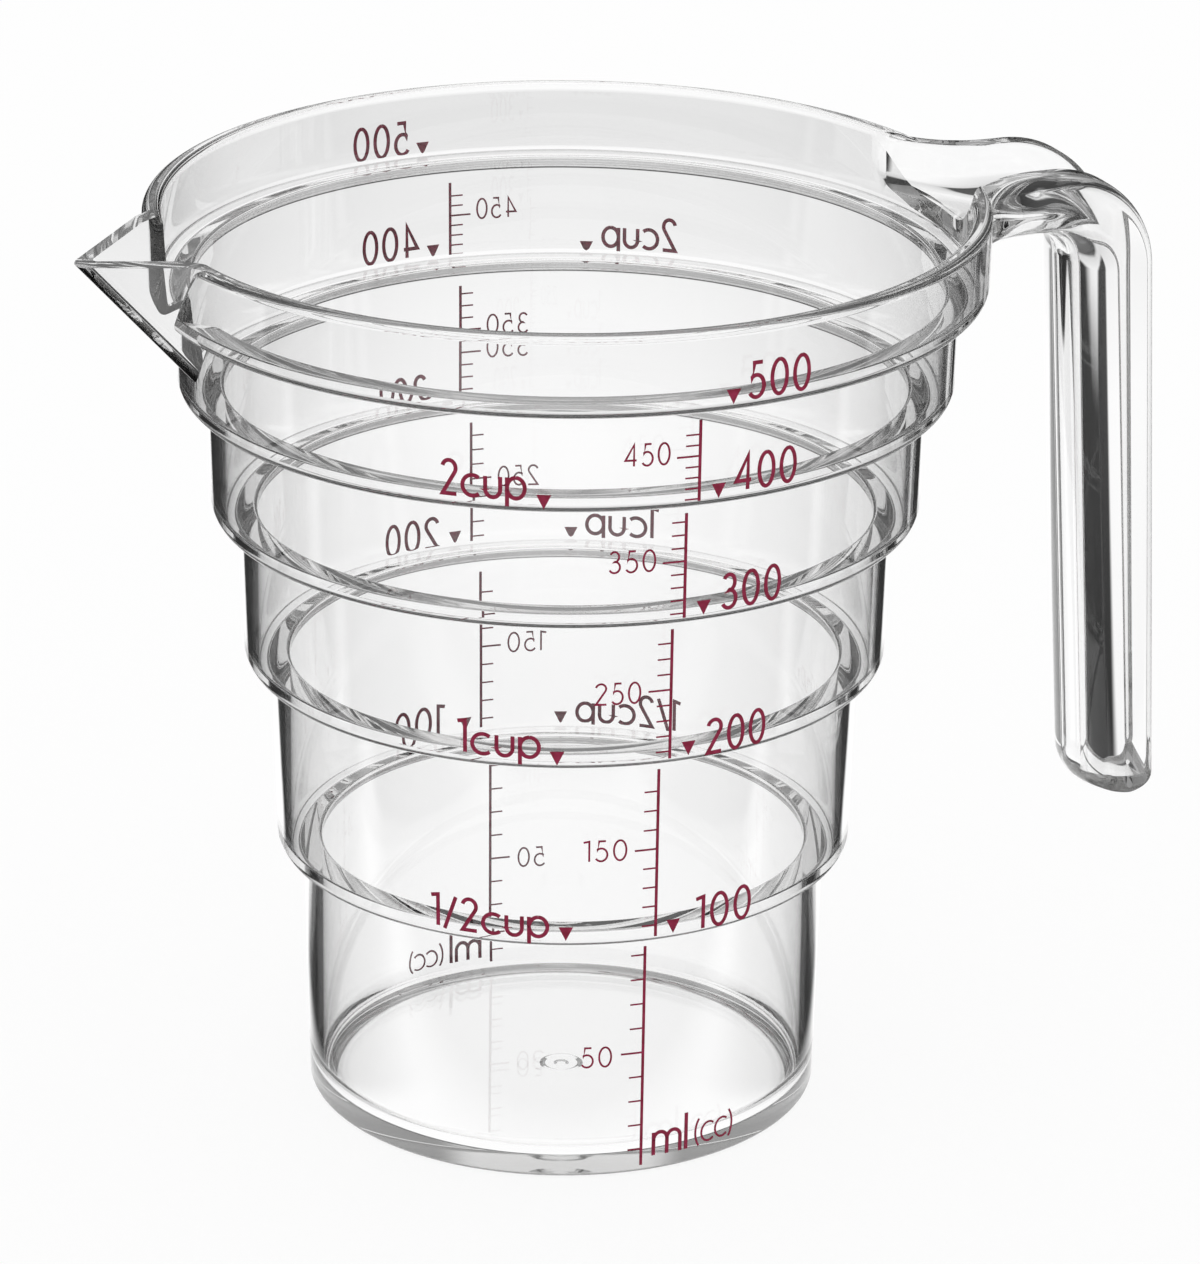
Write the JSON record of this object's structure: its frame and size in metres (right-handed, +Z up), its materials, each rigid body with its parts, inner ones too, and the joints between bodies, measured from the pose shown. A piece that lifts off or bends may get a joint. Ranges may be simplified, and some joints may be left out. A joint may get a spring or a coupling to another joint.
{
  "type": "measuring cup",
  "caption": "Clear stepped measuring cup whose bands widen at each graduation, with a V-shaped pouring spout, an open hook handle and printed scales.",
  "frame": {"origin": "centre of the base, on the cup's axis, in the plane that the cup stands on", "axes": "+Z up along the cup's axis, +X from the axis to the handle, so the spout is on -X and the front print faces -Y"},
  "size_m": [0.1461, 0.1074, 0.1208],
  "materials": {
    "clear_resin": "clear, polished mould finish",
    "ink": "wine red pad-printed ink"
  },
  "bodies": {
    "root": {"cup_body": "clear_resin", "handle": "clear_resin", "scale_front_100": "ink", "scale_front_200": "ink", "scale_front_300": "ink", "scale_front_400": "ink", "scale_front_500": "ink", "pointer_front_100": "ink", "pointer_front_200": "ink", "pointer_front_300": "ink", "pointer_front_400": "ink", "pointer_front_500": "ink", "pointer_front_half_cup": "ink", "pointer_front_one_cup": "ink", "pointer_front_two_cup": "ink", "scale_back_100": "ink", "scale_back_200": "ink", "scale_back_300": "ink", "scale_back_400": "ink", "scale_back_500": "ink", "pointer_back_100": "ink", "pointer_back_200": "ink", "pointer_back_300": "ink", "pointer_back_400": "ink", "pointer_back_500": "ink", "pointer_back_half_cup": "ink", "pointer_back_one_cup": "ink", "pointer_back_two_cup": "ink"}
  },
  "joints": []
}
